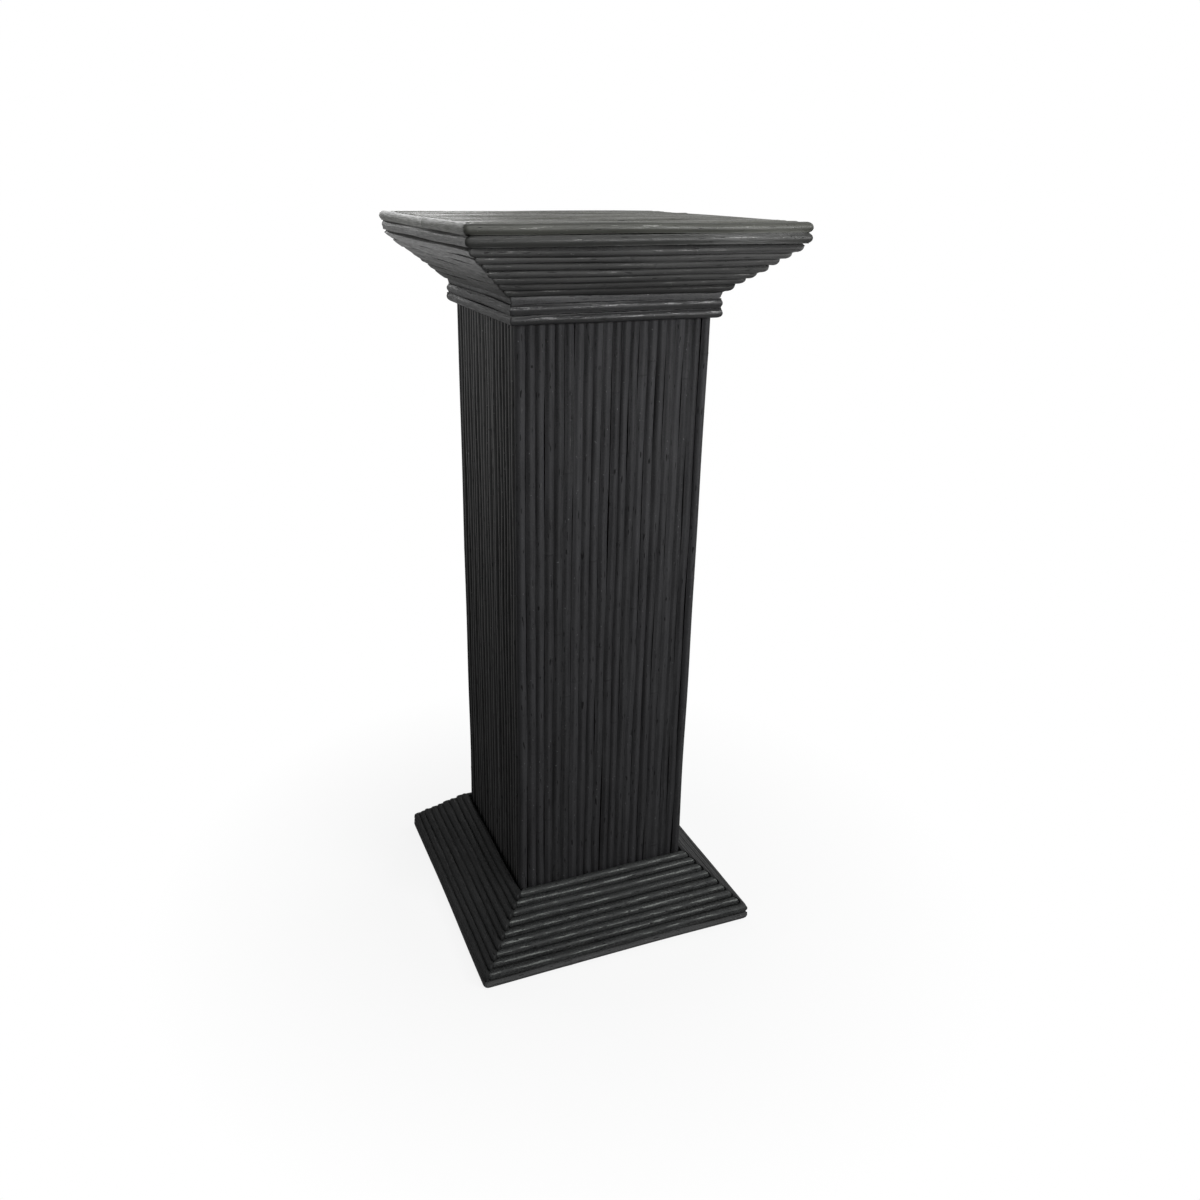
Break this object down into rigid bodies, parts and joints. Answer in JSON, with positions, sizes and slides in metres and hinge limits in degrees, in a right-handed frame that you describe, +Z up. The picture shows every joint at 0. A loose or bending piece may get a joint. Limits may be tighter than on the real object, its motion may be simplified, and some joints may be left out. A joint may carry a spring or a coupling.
{
  "type": "display plinth",
  "caption": "Square display plinth: a box column clad in upright black reeds on a flared mitred reed base, with a beaded neck, a flared reed capital and a flat reed-covered top.",
  "frame": {"origin": "centre of the underside of the floor board, on the surface that the plinth stands on", "axes": "+Z up along the column, -Y towards the front, +X to the right seen from the front"},
  "size_m": [0.3874, 0.3874, 0.9175],
  "materials": {
    "black_reed": "black paint on round reeds, satin",
    "top_reed": "black paint on round reeds, satin, lightly worn",
    "plywood": "bare plywood",
    "pine": "bare sawn pine"
  },
  "bodies": {
    "root": {"base_floor_reed_back": "black_reed", "base_floor_reed_front": "black_reed", "base_floor_reed_left": "black_reed", "base_floor_reed_right": "black_reed", "base_reeds_back": "black_reed", "base_reeds_front": "black_reed", "base_reeds_left": "black_reed", "base_reeds_right": "black_reed", "base_skirt_board_back": "plywood", "base_skirt_board_front": "plywood", "base_skirt_board_left": "plywood", "base_skirt_board_right": "plywood", "capital_reeds_back": "black_reed", "capital_reeds_front": "black_reed", "capital_reeds_left": "black_reed", "capital_reeds_right": "black_reed", "capital_skirt_board_back": "plywood", "capital_skirt_board_front": "plywood", "capital_skirt_board_left": "plywood", "capital_skirt_board_right": "plywood", "core_board_back": "plywood", "core_board_front": "plywood", "core_board_left": "plywood", "core_board_right": "plywood", "core_bulkhead": "plywood", "corner_block_back_left": "pine", "corner_block_back_right": "pine", "corner_block_front_left": "pine", "corner_block_front_right": "pine", "floor_board": "plywood", "frieze_reed_back": "black_reed", "frieze_reed_front": "black_reed", "frieze_reed_left": "black_reed", "frieze_reed_right": "black_reed", "lip_reed_lower_back": "black_reed", "lip_reed_lower_front": "black_reed", "lip_reed_lower_left": "black_reed", "lip_reed_lower_right": "black_reed", "lip_reed_upper_back": "black_reed", "lip_reed_upper_front": "black_reed", "lip_reed_upper_left": "black_reed", "lip_reed_upper_right": "black_reed", "neck_reed_lower_back": "black_reed", "neck_reed_lower_front": "black_reed", "neck_reed_lower_left": "black_reed", "neck_reed_lower_right": "black_reed", "neck_reed_upper_back": "black_reed", "neck_reed_upper_front": "black_reed", "neck_reed_upper_left": "black_reed", "neck_reed_upper_right": "black_reed", "shaft_reeds_back": "black_reed", "shaft_reeds_front": "black_reed", "shaft_reeds_left": "black_reed", "shaft_reeds_right": "black_reed", "top_board": "plywood", "top_reeds": "top_reed"}
  },
  "joints": []
}
